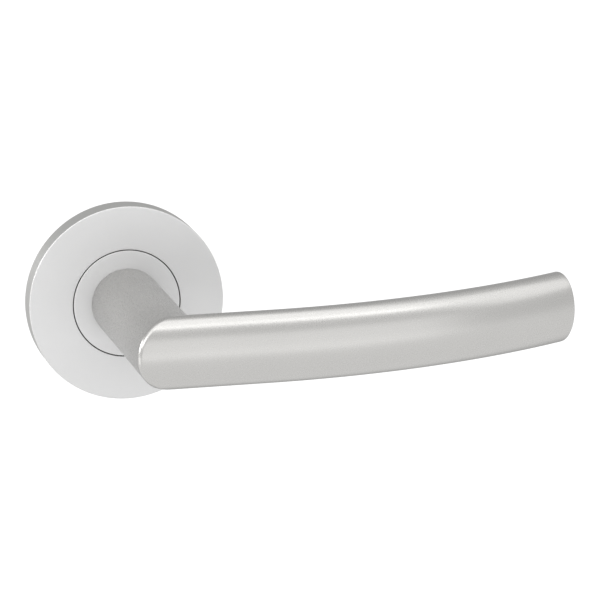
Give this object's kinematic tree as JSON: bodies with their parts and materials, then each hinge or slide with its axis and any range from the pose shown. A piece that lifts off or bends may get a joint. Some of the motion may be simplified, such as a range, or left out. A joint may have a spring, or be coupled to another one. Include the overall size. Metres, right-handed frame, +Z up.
{
  "type": "door lever handle",
  "caption": "Satin aluminium door lever handle: mitred lever with an oval grip bowed towards the door, on a round sprung rose with a square spindle and bolt-through fixing.",
  "frame": {"origin": "on the spindle axis, in the plane of the rose's back face, which lies on the door", "axes": "+Y along the spindle into the door, +Z up, +X from the spindle axis towards the end of the grip"},
  "size_m": [0.1376, 0.1209, 0.052],
  "materials": {
    "anodised_aluminium": "satin silver anodised",
    "cast_zinc": "as-cast zinc",
    "zinc_plated_steel": "bright zinc plated",
    "bright_steel": "drawn bar",
    "spring_steel": "oiled",
    "blackened_steel": "black oxide",
    "black_nylon": "glass-filled moulding",
    "white_acetal": "turned"
  },
  "bodies": {
    "rose": {"rose_cover": "anodised_aluminium", "mounting_plate": "zinc_plated_steel", "spring_housing": "black_nylon", "bearing_bush": "white_acetal", "upper_return_spring": "spring_steel", "lower_return_spring": "spring_steel", "screw_posts": "zinc_plated_steel", "fixing_screws": "zinc_plated_steel", "plate_rivets": "bright_steel", "cover_snap_ring": "spring_steel"},
    "lever": {"grip": "anodised_aluminium", "grip_end_cap": "anodised_aluminium", "neck": "anodised_aluminium", "neck_insert": "cast_zinc", "bearing_collar": "anodised_aluminium", "spring_driver": "cast_zinc", "thrust_washer": "zinc_plated_steel", "disc_spring": "spring_steel", "retaining_circlip": "spring_steel", "spindle": "bright_steel", "grub_screw": "blackened_steel"}
  },
  "joints": [
    {"name": "lever_turn", "type": "hinge", "parent": "rose", "child": "lever", "pos_m": [0, 0, 0], "axis": [0, 1, 0], "range_deg": [0, 40], "stiffness_Nm_per_rad": 1.9, "springref_deg": -16.62, "deforming": ["upper_return_spring", "lower_return_spring"]}
  ]
}
